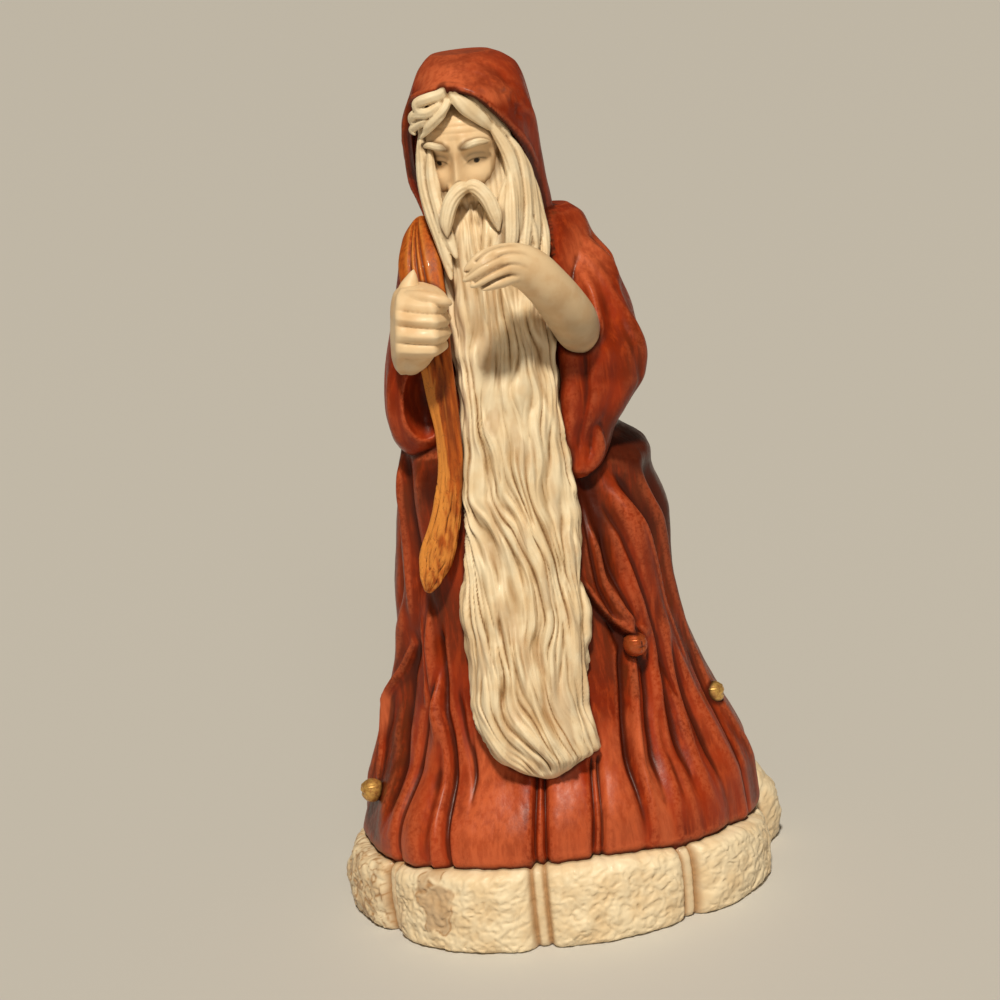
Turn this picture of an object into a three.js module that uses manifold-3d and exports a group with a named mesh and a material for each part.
// A hooded, long-bearded winter gift-bringer: a painted figurine, slip-cast as one piece.
// Millimetres, +Z up. The figure stands on the XY plane round the Z axis and faces -Y,
// and +X is its own left side. An angle is in degrees, counted from the front towards +X.
import * as THREE from "three";
import { mergeVertices } from "three/addons/utils/BufferGeometryUtils.js";
import Module from "manifold-3d";

// Driving dimensions
const TOTAL_HEIGHT = 254;
const HEM_HEIGHT = 25;
const NECK_HEIGHT = 208;
const BEARD_TOP = 212;
const BEARD_TIP = 49;
const LOCK_WIDTH = 5.4;
const BELL_RADIUS = 3.6;
const FINGER_RADIUS = 2.1;

// The head's own middle, half height, turn towards the figure's right and bow, in degrees
const HEAD_MIDDLE = [-4.5, -9, 227];
const HEAD_HALF = 20;
const HEAD_TURN = -12;
const HEAD_BOW = 8;

// Colour of the robe, the largest painted area
const ROBE_RED = 0x8e2c1b;

// Columns round and rows up of each larger skin
const GRID = {
  robe: [72, 17],
  hem: [62, 4],
  leftSleeve: [20, 11],
  rightSleeve: [18, 10],
  hood: [28, 11],
  skull: [20, 9],
  hairBody: [14, 6],
  beard: [34, 20],
};

const DEGREES = Math.PI / 180;
const wasm = await Module();
wasm.setup();

const clamp = (value, low, high) => Math.min(high, Math.max(low, value));
const mix = (a, b, share) => a + (b - a) * share;
const bump = (away, width) => Math.exp(-((away / width) ** 2));

function smoothStep(low, high, value) {
  const share = clamp((value - low) / (high - low), 0, 1);
  return share * share * (3 - 2 * share);
}

// Signed difference of two angles, from -180 to 180.
const turnBetween = (a, b) => ((((a - b) % 360) + 540) % 360) - 180;

// Angle of a turn from 0 to 1, with the columns drawn together towards the front.
const frontwards = (turn, pull = 26) => 360 * turn - pull * Math.sin(turn * 2 * Math.PI);

// A smooth curve that never overshoots, through rows that start with the place and go on
// with the values there. Past its ends the curve stays at the end row.
function through(rows) {
  const steps = rows.slice(1).map((row, i) => row.map((value, k) => value - rows[i][k]));
  const slopes = rows.map((row, i) =>
    row.map((_, k) => {
      const before = steps[i - 1] && steps[i - 1][k] / steps[i - 1][0];
      const after = steps[i] && steps[i][k] / steps[i][0];
      if (before === undefined) return after;
      if (after === undefined) return before;
      return before * after <= 0 ? 0 : (2 * before * after) / (before + after);
    }),
  );
  return (place) => {
    const at = clamp(place, rows[0][0], rows.at(-1)[0]);
    const i = clamp(rows.findIndex((row) => row[0] >= at) - 1, 0, rows.length - 2);
    const span = steps[i][0];
    const t = (at - rows[i][0]) / span;
    const rest = 1 - t;
    return rows[i].slice(1).map((value, k) => {
      const a = value * (1 + 2 * t) * rest * rest;
      const b = slopes[i][k + 1] * span * t * rest * rest;
      const c = rows[i + 1][k + 1] * (3 - 2 * t) * t * t;
      const d = slopes[i + 1][k + 1] * span * t * t * rest;
      return a + b + c - d;
    });
  };
}

// A closed skin made from a barrel of columns by rows. place(turn, rise) gives each point:
// turn runs once round from 0 to 1, anticlockwise seen from the top, and rise goes up from 0 to 1.
function skin(columns, rows, place) {
  const barrel = new THREE.CylinderGeometry(1, 1, 1, columns, rows);
  const position = barrel.getAttribute("position");
  for (let i = 0; i < position.count; i++) {
    const [x, y, z] = [position.getX(i), position.getY(i), position.getZ(i)];
    const rise = Math.round((y + 0.5) * rows) / rows;
    const isMiddle = Math.hypot(x, z) < 0.5;
    const turn = (Math.round((Math.atan2(x, z) / (2 * Math.PI)) * columns) + columns) % columns;
    const point = isMiddle
      ? middleOfRing(columns, rise, place)
      : place(turn / columns, rise);
    position.setXYZ(i, point.x, point.y, point.z);
  }
  return solid(barrel);
}

function middleOfRing(columns, rise, place) {
  const sum = new THREE.Vector3();
  for (let i = 0; i < columns; i++) sum.add(place(i / columns, rise));
  return sum.divideScalar(columns);
}

// A closed manifold solid from a geometry whose seams only meet in position.
function solid(geometry) {
  geometry.deleteAttribute("normal");
  geometry.deleteAttribute("uv");
  const merged = mergeVertices(geometry, 1e-4);
  return new wasm.Manifold(
    new wasm.Mesh({
      numProp: 3,
      vertProperties: merged.getAttribute("position").array,
      triVerts: new Uint32Array(merged.index.array),
    }),
  );
}

const joined = (solids) => solids.reduce((whole, next) => whole.add(next));

const polar = (angle, radius, height) =>
  new THREE.Vector3(radius * Math.sin(angle * DEGREES), -radius * Math.cos(angle * DEGREES), height);

// A fold of cloth: a ridge, or with a negative rise a groove, along rows of [height, angle].
// It fades out past both ends.
function fold(rise, width, path) {
  const centre = through(path);
  const [low, high] = [path[0][0], path.at(-1)[0]];
  const FADE = 7;
  return (angle, height, radius) => {
    const starts = smoothStep(low - FADE, low + FADE, height);
    const ends = 1 - smoothStep(high - FADE, high + FADE, height);
    const away = turnBetween(angle, centre(height)[0]) * DEGREES * radius;
    return rise * starts * ends * bump(away, width);
  };
}

const reliefOf = (folds) => (angle, height, radius) =>
  folds.reduce((sum, each) => sum + each(angle, height, radius), 0);

// A tube along stations of [x, y, z, half width, half thickness]. The thickness lies along
// the direction that the tube faces, and both ends are rounded off.
function limb(stations, { facing = [0, -1, 0], columns = 8, rows = 8, blunt = 0.15 } = {}) {
  const path = new THREE.CatmullRomCurve3(stations.map(([x, y, z]) => new THREE.Vector3(x, y, z)));
  const sizes = through(stations.map((row, i) => [i / (stations.length - 1), row[3], row[4]]));
  const outward = new THREE.Vector3(...facing);
  const END_SIZE = 0.35;
  return skin(columns, rows, (turn, rise) => {
    const [width, thickness] = sizes(rise);
    const nearEnd = Math.min(rise, 1 - rise) / blunt;
    const round = nearEnd >= 1 ? 1 : mix(END_SIZE, 1, Math.sqrt(nearEnd * (2 - nearEnd)));
    const along = path.getTangent(rise);
    const front = outward.clone().addScaledVector(along, -outward.dot(along)).normalize();
    const side = along.clone().cross(front);
    const angle = turn * 2 * Math.PI;
    return path
      .getPoint(rise)
      .addScaledVector(front, thickness * round * Math.cos(angle))
      .addScaledVector(side, width * round * Math.sin(angle));
  });
}

// An upright body of oval rings: stations of [height, middle x, middle y, half width, half depth].
function drape(stations, grid, relief = () => 0) {
  const rings = through(stations);
  const low = stations[0][0];
  const high = stations.at(-1)[0];
  return skin(...grid, (turn, rise) => {
    const height = mix(low, high, rise);
    const [x, y, width, depth] = rings(height);
    const angle = turn * 360;
    const oval = ringRadius(angle, [width, width, depth, depth]);
    const point = polar(angle, oval + relief(angle, height, oval), height);
    return point.add(new THREE.Vector3(x, y, 0));
  });
}

// Robe. Half sizes of its plain bell shape at each height: to the figure's right, left, front, back.
const robeSizes = through([
  [0, 61, 64, 58.5, 57],
  [20, 59.5, 63, 57, 55],
  [33, 55.4, 62.4, 54.5, 51],
  [48, 49.8, 56.4, 49.5, 47.5],
  [64, 44.9, 49.4, 45, 44.5],
  [80, 41.6, 45.2, 41.5, 42],
  [96, 40.8, 43.6, 39, 40],
  [112, 38.4, 42.8, 36.5, 38.5],
  [125, 36.3, 39.2, 34, 37],
  [134, 35, 37.6, 33, 35.5],
  [141, 33, 33, 31.5, 31.5],
  [158, 31, 31, 29.5, 31],
  [175, 29.5, 30, 27, 29.5],
  [190, 28, 30, 23, 24.5],
  [200, 26, 28.6, 18, 19],
  [205, 22, 26, 15, 16],
  [NECK_HEIGHT, 15, 15, 12, 13],
]);

// Folds on the figure's right front, gathered under the stole and opening towards the hem
const RIGHT_FOLDS = [
  fold(2.8, 4.5, [[34, -89], [58, -85], [81, -72], [95, -68]]),
  fold(-3, 3.5, [[28, -79], [42, -80], [58, -78], [80, -66], [92, -62]]),
  fold(2, 4, [[10, -62], [41, -61], [71, -58], [91, -61]]),
  fold(-2.2, 3, [[5, -53], [41, -52], [66, -53], [86, -55]]),
  fold(2.4, 3, [[5, -41], [23, -40], [52, -43], [72, -48.8], [98, -51]]),
  fold(-2.2, 2.4, [[5, -35], [23, -36], [58, -41.6], [87, -47]]),
  fold(1.8, 2.4, [[36, -29], [53, -33], [81, -42]]),
  fold(-1.8, 2.4, [[42, -20], [49, -26.6], [73, -38.4]]),
  fold(-2.6, 4, [[70, -37], [84, -42], [99, -45]]),
  fold(2.6, 4.5, [[85, -63], [109, -65], [133, -63]]),
  fold(-2.6, 4, [[84, -74], [107, -77], [131, -77]]),
  fold(-2.4, 3.5, [[104, -60], [122, -54], [136, -61]]),
];

// Pleats of the broad panels in the middle of the front
const FRONT_PLEATS = [
  fold(-2.6, 2.8, [[5, -6], [24, -5.5], [47, -3]]),
  fold(-2, 2.4, [[5, 11], [24, 11.4], [51, 15.2]]),
  fold(-2.6, 3, [[5, 28], [22, 28], [53, 29]]),
  fold(2.2, 2.6, [[5, 33], [26, 32], [59, 35.6]]),
  fold(-2.4, 2.6, [[20, 37], [35, 37.5], [58, 40.5], [72, 43]]),
  fold(-2.2, 2.6, [[5, 44.3], [22, 44.3], [49, 51.3]]),
];

// Long folds of the coat on the figure's left, from under the sleeve down to the hem
const COAT_FOLDS = [
  fold(3.6, 5, [[5, 68], [30, 66], [57, 64], [96, 57], [125, 47.4]]),
  fold(2.4, 6, [[0, 54], [25, 54], [50, 56]]),
  fold(-3.4, 4, [[42, 55], [72, 56.9], [104, 48.3], [124, 38.5]]),
  fold(-2.6, 3.5, [[5, 84], [37, 82], [70, 78], [99, 74], [126, 64.4]]),
  fold(2, 4, [[60, 92], [100, 86], [126, 76]]),
  fold(2.4, 3, [[88, 37], [95, 34], [107, 30.5], [120, 30]]),
];

// Plainer folds all round the back, found by a loop
const BACK_FOLDS = [104, 128, 152, 180, 206, 230, 252].flatMap((angle, i) => [
  fold(2.4, 5, [[5, angle], [70, angle + 2], [112 + 4 * (i % 3), mix(angle, 180, 0.12)]]),
  fold(-2, 3.5, [[5, angle + 12], [60, angle + 13], [104 - 5 * (i % 2), mix(angle + 12, 180, 0.12)]]),
]);

// Hanging folds of the coat between the shoulders and the waist
const SHOULDER_FOLDS = [
  fold(2, 5, [[146, 122], [182, 138]]),
  fold(-1.6, 4, [[150, 150], [186, 160]]),
  fold(1.8, 6, [[144, 184], [176, 178]]),
  fold(-1.6, 4, [[148, 214], [186, 204]]),
  fold(2, 5, [[146, 240], [184, 226]]),
];

const robeRelief = reliefOf([
  ...RIGHT_FOLDS,
  ...FRONT_PLEATS,
  ...COAT_FOLDS,
  ...BACK_FOLDS,
  ...SHOULDER_FOLDS,
]);

// The coat's front corner is a second layer that hangs over the skirt and ends at a bell.
const FLAP_TIP = { angle: 41, height: 79 };
const FLAP_THICKNESS = 2.6;

function flapRelief(angle, height) {
  const besideTip = angle - FLAP_TIP.angle;
  const slope = besideTip < 0 ? -1.05 : 2.6;
  const edge = FLAP_TIP.height + slope * besideTip;
  const across = smoothStep(8, 20, angle) * (1 - smoothStep(46, 58, angle));
  const upward = 1 - smoothStep(112, 132, height);
  return FLAP_THICKNESS * across * upward * smoothStep(edge - 2.5, edge + 2.5, height);
}

// Where the coat is bloused over its belt, round the figure's left side and back.
function waistRoll(angle, height) {
  const around = smoothStep(48, 70, angle) * (1 - smoothStep(190, 235, angle));
  return around * (1.9 * bump(height - 132.5, 4) - 1.6 * bump(height - 141, 3));
}

// Radius at an angle of a ring with the given half sizes
function ringRadius(angle, [right, left, front, back]) {
  const x = Math.sin(angle * DEGREES);
  const y = Math.cos(angle * DEGREES);
  return 1 / Math.hypot(x / (x < 0 ? right : left), y / (y > 0 ? front : back));
}

function robeRadius(angle, height) {
  const plain = ringRadius(angle, robeSizes(height));
  return plain + robeRelief(angle, height, plain) + flapRelief(angle, height) + waistRoll(angle, height);
}

function robe() {
  const FOOT_HEIGHT = 4;
  const SLEEVE_HEIGHT = 142;
  const rowHeight = through([[0, FOOT_HEIGHT], [0.8, SLEEVE_HEIGHT], [1, NECK_HEIGHT]]);
  return skin(...GRID.robe, (turn, rise) => {
    const [height] = rowHeight(rise);
    const angle = frontwards(turn);
    return polar(angle, robeRadius(angle, height), height);
  });
}

// Fur hem: the radius at the middle of each lobe, and the grooves between the lobes
const HEM_GROOVES = [-100, -54, -7, 37, 86, 130, 175, 220];
const hemOutline = through([
  [-140, 61], [-125, 62.5], [-81, 66.8], [-35, 66], [15, 62.5], [60, 68.6], [76, 68.4], [86, 67], [98, 71.4],
  [150, 62.5], [198, 61], [220, 61],
]);

const hemAngle = (angle) => (angle > 220 ? angle - 360 : angle);

function hemRadius(angle) {
  const nearest = Math.min(...HEM_GROOVES.map((groove) => Math.abs(turnBetween(angle, groove))));
  return hemOutline(hemAngle(angle))[0] - 1.6 * bump(nearest, 9) - 3 * bump(nearest, 3.2);
}

// How far the top of each lobe falls below the hem's height, round the figure
const hemDrop = through([
  [-140, 4], [-95, 5], [-70, 4], [-54, 2.5], [-30, 0.5], [0, 0], [25, 1], [37, 2.6], [52, 3.5], [66, 5.5],
  [78, 7.5], [86, 4], [94, 0], [105, -0.5], [140, 1], [180, 3], [220, 4],
]);

// Rows of [rise, share of the hem's height, how far the fur stands out there]
const hemSection = through([
  [0, 0, -2.5],
  [0.2, 0.08, -0.4],
  [0.5, 0.5, 0],
  [0.8, 0.9, -2.4],
  [1, 1, -7.5],
]);

function furHem() {
  return skin(...GRID.hem, (turn, rise) => {
    const angle = frontwards(turn, 14);
    const [share, proud] = hemSection(rise);
    const top = HEM_HEIGHT - hemDrop(hemAngle(angle))[0];
    return polar(angle, hemRadius(angle) + proud, share * top);
  });
}

const leftSleeveRelief = reliefOf([
  fold(2, 3.5, [[158, 66], [168, 56], [178, 44], [192, 25]]),
  fold(-2.6, 3.2, [[142, 2], [155, 6], [168, 14], [184, 12]]),
  fold(1.6, 2.6, [[136, -30], [150, -36], [166, -38]]),
  fold(-1.8, 3, [[150, 88], [165, 82], [180, 66]]),
  fold(2, 3.5, [[172, 120], [186, 118]]),
]);

function leftSleeve() {
  const stations = [
    [131, 16.8, -24, 3.5, 5],
    [134, 18.4, -21.5, 6.5, 9.5],
    [138, 20, -18.8, 7.5, 11.2],
    [143, 21.4, -16, 8.4, 13.5],
    [150, 24.4, -14, 10.8, 16.5],
    [158, 26.8, -12, 13, 18],
    [166, 27.2, -11, 13, 18],
    [174, 26.5, -8, 12, 17],
    [182, 25.2, -6, 10.8, 15.5],
    [190, 24.5, -2, 10.4, 13],
    [198, 20.5, 1, 9, 11],
    [203, 18.6, 2, 9, 9.4],
    [207, 15.6, 2, 7.4, 7],
  ];
  return drape(stations, GRID.leftSleeve, leftSleeveRelief);
}

// The hollow of the right cuff is a deep groove under the fist, inside a rolled rim.
const rightSleeveRelief = reliefOf([
  fold(-6, 5, [[150, 12], [164, 8]]),
  fold(1.4, 2.5, [[140, -20], [150, -30], [166, -34]]),
  fold(-1.6, 3, [[150, -80], [176, -86]]),
]);

function rightSleeve() {
  const stations = [
    [140, -25.5, -18, 3, 5],
    [143, -26, -17, 7.3, 10.5],
    [148, -26.5, -17, 9.4, 15.5],
    [153, -26.5, -17, 10.3, 18.2],
    [160, -26, -16, 10.5, 19.5],
    [170, -25, -14, 10, 19],
    [180, -23, -11, 9, 17.5],
    [190, -20.8, -6, 8.4, 14],
    [200, -17.5, 0, 9, 11],
    [206, -14, 2, 5, 6],
  ];
  return drape(stations, GRID.rightSleeve, rightSleeveRelief);
}

// Hood. Half sizes round its own centre at each height: to the figure's right, left, front and back.
const HOOD_CENTRE = [-2.5, -1];
const HOOD_BOTTOM = 184;
const hoodSizes = through([
  [HOOD_BOTTOM, 15, 16, 8, 23],
  [192, 17, 18, 10, 24.5],
  [200, 17, 20, 14, 23],
  [208, 17.2, 19.6, 18, 21.5],
  [218, 19.4, 18.6, 22.5, 21.5],
  [226, 20.5, 18.3, 25.5, 21.5],
  [234, 20.2, 18.2, 27.5, 21],
  [244, 16.6, 16.7, 26, 19.5],
  [249, 14.3, 14.9, 20, 17.5],
  [252.5, 11.6, 11, 14, 14.5],
  [TOTAL_HEIGHT, 9.6, 7.5, 10, 11],
]);
const hoodRelief = reliefOf([
  fold(-1.4, 2.6, [[243, -20], [246, 0], [243, 24]]),
  fold(1.6, 4, [[196, 84], [226, 70], [240, 50]]),
  fold(-1.4, 3.5, [[192, 128], [215, 120], [236, 110]]),
  fold(-1.4, 3.5, [[192, 232], [215, 240], [236, 250]]),
  fold(1.6, 4, [[190, 180], [235, 180]]),
]);

// Outline of the face opening, seen from the front
const BRIM = [
  [-19, 190], [-21.6, 208], [-21.8, 224], [-20.6, 236], [-17, 242.8], [-8, 245.4], [-0.5, 242.6],
  [6.6, 234.4], [11.8, 225], [15, 214.5], [16.4, 204], [13, 190],
];
const BRIM_TUNNEL = { front: -45, back: -12, points: 26 };

function hood() {
  const cap = skin(...GRID.hood, (turn, rise) => {
    const height = mix(HOOD_BOTTOM, TOTAL_HEIGHT, rise ** 0.85);
    const angle = frontwards(turn, 18);
    const plain = ringRadius(angle, hoodSizes(height));
    const point = polar(angle, plain + hoodRelief(angle, height, plain), height);
    return point.add(new THREE.Vector3(...HOOD_CENTRE, 0));
  });
  return cap.subtract(faceOpening());
}

function faceOpening() {
  const points = BRIM.map(([x, z]) => new THREE.Vector2(x, z));
  const curve = new THREE.SplineCurve([...points, points[0]]);
  const outline = new THREE.Shape().setFromPoints(curve.getPoints(BRIM_TUNNEL.points));
  const depth = BRIM_TUNNEL.back - BRIM_TUNNEL.front;
  const tunnel = new THREE.ExtrudeGeometry(outline, { depth, bevelEnabled: false });
  return solid(tunnel.rotateX(Math.PI / 2).translate(0, BRIM_TUNNEL.back, 0));
}

// Head, in its own frame: middle at the origin, facing -Y. Rings of [height, half width, front, back]
const headRings = through([
  [-HEAD_HALF, 6, 12, 5],
  [-14, 9.5, 15, 10],
  [-8, 12, 16, 12],
  [0, 13.2, 16.4, 13],
  [8, 13.4, 17, 13],
  [14, 12, 15, 12],
  [HEAD_HALF, 7, 9, 7],
]);
const EYE = { across: 5.4, height: 0.5 };
const headPose = new THREE.Matrix4()
  .makeTranslation(...HEAD_MIDDLE)
  .multiply(new THREE.Matrix4().makeRotationZ(HEAD_TURN * DEGREES))
  .multiply(new THREE.Matrix4().makeRotationX(HEAD_BOW * DEGREES));
const onHead = ([x, y, z, ...sizes]) => [
  ...new THREE.Vector3(x, y, z).applyMatrix4(headPose).toArray(),
  ...sizes,
];

function skull() {
  return skin(...GRID.skull, (turn, rise) => {
    const height = mix(-HEAD_HALF, HEAD_HALF, rise);
    const [width, front, back] = headRings(height);
    const angle = frontwards(turn) * DEGREES;
    const x = width * Math.sin(angle);
    const y = -Math.cos(angle) * (Math.cos(angle) > 0 ? front : back);
    const isFront = Math.cos(angle) > 0;
    const socket = isFront ? 2.2 * bump(Math.abs(x) - EYE.across, 3) * bump(height - EYE.height, 2.6) : 0;
    return new THREE.Vector3(x, y + socket, height).applyMatrix4(headPose);
  });
}

function head() {
  const nose = limb(
    [[0, -15.6, 3, 1.3, 1.2], [0, -17.4, -2, 1.6, 1.8], [0, -18.6, -6, 2.6, 2.2], [0, -17, -8, 2.4, 1.6]].map(
      onHead,
    ),
    { columns: 6, rows: 5 },
  );
  const brows = [-1, 1].map((side) =>
    limb(
      [
        [2 * side, -16.6, 3.6, 1.2, 1],
        [6 * side, -16, 4.8, 1.5, 1.4],
        [10.6 * side, -12.8, 3.4, 1, 1],
      ].map(onHead),
      { columns: 6, rows: 3 },
    ),
  );
  return joined([skull(), nose, ...brows]);
}

// Locks of [x, y, z, half width, half thickness], from the parting down into the beard
const HAIR_LOCKS = [
  [
    [-9, -25.5, 242, 2, 1.6], [-14.5, -23.5, 242.6, 2.2, 1.8],
    [-18.8, -21, 240, 2, 1.8], [-19.5, -18, 234, 1.6, 1.6],
  ],
  [
    [-8.5, -26.5, 240.5, 1.8, 1.6], [-14, -25.5, 239, 2, 1.8],
    [-18, -22.5, 235, 2, 1.8], [-19, -20, 229, 1.6, 1.6],
  ],
  [
    [-9, -25.5, 242.5, 2.4, 2], [-3.5, -25.5, 241, 3, 2.2],
    [3, -24, 234, 2.8, 2.2], [7, -22, 226, 2.2, 2],
  ],
  [
    [-19.5, -18, 236, 1.8, 2.4], [-19.8, -19, 226, 2, 2.6],
    [-18.6, -23, 214, 2, 2.6], [-16.5, -26, 202, 1.8, 2],
  ],
  [
    [-17.5, -21.5, 231, 1.6, 2], [-16.6, -25, 219, 2, 2.4],
    [-15, -29, 206, 1.8, 2.2],
  ],
  [
    [4, -24, 233, 2.2, 2], [7, -25, 222, 2.4, 2.4],
    [8.4, -28, 210, 2.2, 2.4], [8.4, -29.5, 199, 1.8, 2],
  ],
  [
    [8, -20, 232, 2.4, 2.4], [11.6, -21, 221, 2.6, 2.6],
    [12.8, -23.5, 210, 2.4, 2.6], [12.8, -25, 197, 2, 2],
  ],
  [
    [10.6, -16, 226, 2, 3], [14.2, -17, 214, 2.2, 3],
    [15.4, -19, 205, 2, 3], [14.6, -22, 194, 1.8, 2],
  ],
];
const MOUSTACHE = [
  [
    [-5.8, -27.5, 219, 1.6, 2], [-9.4, -28.5, 217.5, 2.4, 2.4],
    [-12.4, -29.5, 212.5, 2.4, 2.4], [-13, -31, 205.5, 1.4, 1.6],
  ],
  [
    [-5.8, -27.5, 219, 1.6, 2], [-2.2, -28.5, 218, 2.4, 2.4],
    [0.8, -29.5, 213, 2.4, 2.4], [1.6, -31, 206, 1.4, 1.6],
  ],
];

// The hair that the locks lie on, filling the hood round the face
const HAIR_BODY = [
  [192, -1, -14, 13, 11.5],
  [205, -2.5, -13.5, 15.5, 12.5],
  [220, -3.2, -11.5, 17.4, 12],
  [234, -3.8, -9.5, 16.4, 12],
  [244, -5, -8, 11, 12],
];

const hair = () =>
  joined([
    drape(HAIR_BODY, GRID.hairBody),
    ...HAIR_LOCKS.map((lock) => limb(lock, { columns: 6, rows: 5 })),
  ]);
const moustache = () => joined(MOUSTACHE.map((lock) => limb(lock, { columns: 6, rows: 6 })));

// Beard: [height, left edge, right edge, front surface], as the figure's viewer sees them
const beardOutline = through([
  [BEARD_TIP, -5, 4, -52],
  [51.5, -11, 8.5, -54.5],
  [56, -15.5, 14.4, -56.5],
  [61, -18.4, 13.4, -57],
  [70, -20.5, 14, -55],
  [85, -21, 15.5, -51.5],
  [100, -19.5, 17, -48],
  [126, -17.6, 15.6, -43],
  [156, -15.5, 14, -38],
  [174, -15, 12.5, -35],
  [190, -15.5, 13, -33],
  [204, -15, 12, -31],
  [BEARD_TOP, -13, 8, -26],
]);

// How far a wavy lock stands out of the hollows beside it.
function lockRelief(across, height) {
  const sway = 2 * Math.sin(height / 11) + 1.2 * Math.sin(height / 6.5 + across / 7);
  return 2 * Math.abs(Math.sin((Math.PI * (across + sway)) / LOCK_WIDTH)) - 1.2;
}

function beard() {
  const SIDE_DEPTH = 12;
  const BACK_DEPTH = 6;
  return skin(...GRID.beard, (turn, rise) => {
    const height = mix(BEARD_TIP, BEARD_TOP, rise ** 1.3);
    const [left, right, front] = beardOutline(height);
    const angle = frontwards(turn, 34) * DEGREES;
    const across = (left + right) / 2 + ((right - left) / 2) * Math.sin(angle);
    const facing = Math.cos(angle);
    const back = front + SIDE_DEPTH;
    const y = facing > 0 ? back - SIDE_DEPTH * facing ** 0.6 : back - BACK_DEPTH * facing;
    const ends = smoothStep(0, 0.05, rise) * smoothStep(1, 0.95, rise);
    const relief = facing > 0 ? lockRelief(across, height) * ends * smoothStep(0, 0.5, facing) : 0;
    return new THREE.Vector3(across, y - relief, height);
  });
}

// Left hand, raised palm down before the beard with its fingers side by side
const LEFT_FINGERS = [
  [[8, -52, 202], [3.5, -54.5, 203.4], [-3.2, -56.5, 202.4], [-8.8, -56, 199]],
  [[9, -53.5, 200.5], [5.5, -56, 201.6], [-2.1, -58.5, 200.4], [-9.4, -57.5, 196.8]],
  [[10, -54, 198], [7.4, -57, 199], [-0.2, -60, 198], [-8.2, -59, 195.2]],
  [[11, -53, 195.5], [9.4, -56.5, 196], [2, -59.5, 195.6], [-5.8, -59, 194]],
];

const finger = (path, radius) =>
  limb(
    path.map(([x, y, z], i) => [x, y, z, radius * (1 - 0.1 * i), radius * (1 - 0.1 * i)]),
    { columns: 6, rows: 5, blunt: 0.2 },
  );

function leftArm() {
  const forearm = limb(
    [
      [24.5, -20, 168, 4.5, 4.5],
      [22.6, -28, 173.4, 6.6, 6],
      [21, -35, 178.5, 7.4, 6.8],
      [17.4, -41, 185.1, 7.2, 6.4],
      [13.4, -46.5, 191.2, 6.3, 5.2],
      [8.8, -50.5, 196.6, 5.8, 4.2],
      [4, -54.5, 199.6, 5.4, 3],
    ],
    { columns: 10, rows: 9 },
  );
  return joined([forearm, ...LEFT_FINGERS.map((path) => finger(path, FINGER_RADIUS))]);
}

// Right fist, closed round the edge of the stole with its thumb on top
const FIST_FINGER_HEIGHTS = [189.8, 185.6, 181.2, 176.6];

function rightFist() {
  const palm = limb(
    [
      [-25, -22, 170, 6, 6],
      [-25, -34, 172.5, 7.4, 6],
      [-23.4, -40.5, 178, 8.4, 7.6],
      [-23, -41.5, 187, 7.8, 7],
      [-24, -40, 195, 3, 3],
    ],
    { columns: 10, rows: 7 },
  );
  const fingers = FIST_FINGER_HEIGHTS.map((height, i) => {
    const drawnIn = i === 3 ? 2 : 0;
    const path = [
      [-29, -41 + drawnIn, height],
      [-26.5, -47 + drawnIn, height + 0.4],
      [-21, -50 + drawnIn, height + 0.6],
      [-14.5, -47.5 + drawnIn, height - 0.6],
    ];
    return finger(path, FINGER_RADIUS * 1.15);
  });
  const thumb = finger([[-28.5, -41, 189], [-24.5, -45, 193.5], [-19.5, -47, 193.8], [-14.5, -46, 192]], 2.2);
  return joined([palm, thumb, ...fingers]);
}

// Stole: a long strip from the shoulder, behind the fist, to its loose end on the skirt
function stole() {
  const stations = [
    [-20, -9, 208.4, 3.4, 2.6],
    [-21, -18, 203.5, 5, 3.2],
    [-21.4, -24.5, 196.5, 6.4, 3.4],
    [-20.8, -29, 186, 6.2, 3.4],
    [-20, -32, 172, 4.8, 3.2],
    [-19.2, -33.8, 160, 4.2, 3],
    [-18.6, -34.3, 148, 3.6, 3],
    [-19.2, -34.6, 138, 3.6, 3],
    [-20.6, -34.8, 130, 4, 3],
    [-23, -35, 121, 5.2, 2.9],
    [-25.6, -35, 114, 5.8, 2.8],
    [-28, -35, 108.5, 3.6, 2.6],
    [-29.8, -34.5, 103.5, 1.6, 2.2],
  ];
  return limb(stations, { facing: [-0.3, -1, 0], columns: 8, rows: 12, blunt: 0.08 });
}

// A bell at an angle and height, pressed into whatever it hangs on
function bell(angle, height, radius) {
  const middle = polar(angle, radius, height);
  return solid(new THREE.SphereGeometry(BELL_RADIUS, 8, 5).translate(...middle.toArray()));
}

const figurine = joined([
  robe(),
  furHem(),
  leftSleeve(),
  rightSleeve(),
  stole(),
  hood(),
  head(),
  hair(),
  beard(),
  moustache(),
  leftArm(),
  rightFist(),
  bell(-75, 38, 56.2),
  bell(79, 55.5, 52.5),
  bell(FLAP_TIP.angle - 5, 81.5, 46.5),
]);

function toGeometry(whole) {
  const mesh = whole.getMesh();
  const geometry = new THREE.BufferGeometry();
  geometry.setAttribute("position", new THREE.BufferAttribute(mesh.vertProperties, 3));
  geometry.setIndex(new THREE.BufferAttribute(mesh.triVerts, 1));
  geometry.computeVertexNormals();
  return geometry;
}

const paintedBisque = new THREE.MeshStandardMaterial({ color: ROBE_RED, roughness: 0.5, metalness: 0 });
const casting = new THREE.Mesh(toGeometry(figurine), paintedBisque);
casting.name = "santa_figurine";

const model = new THREE.Group();
model.add(casting);
export default model;
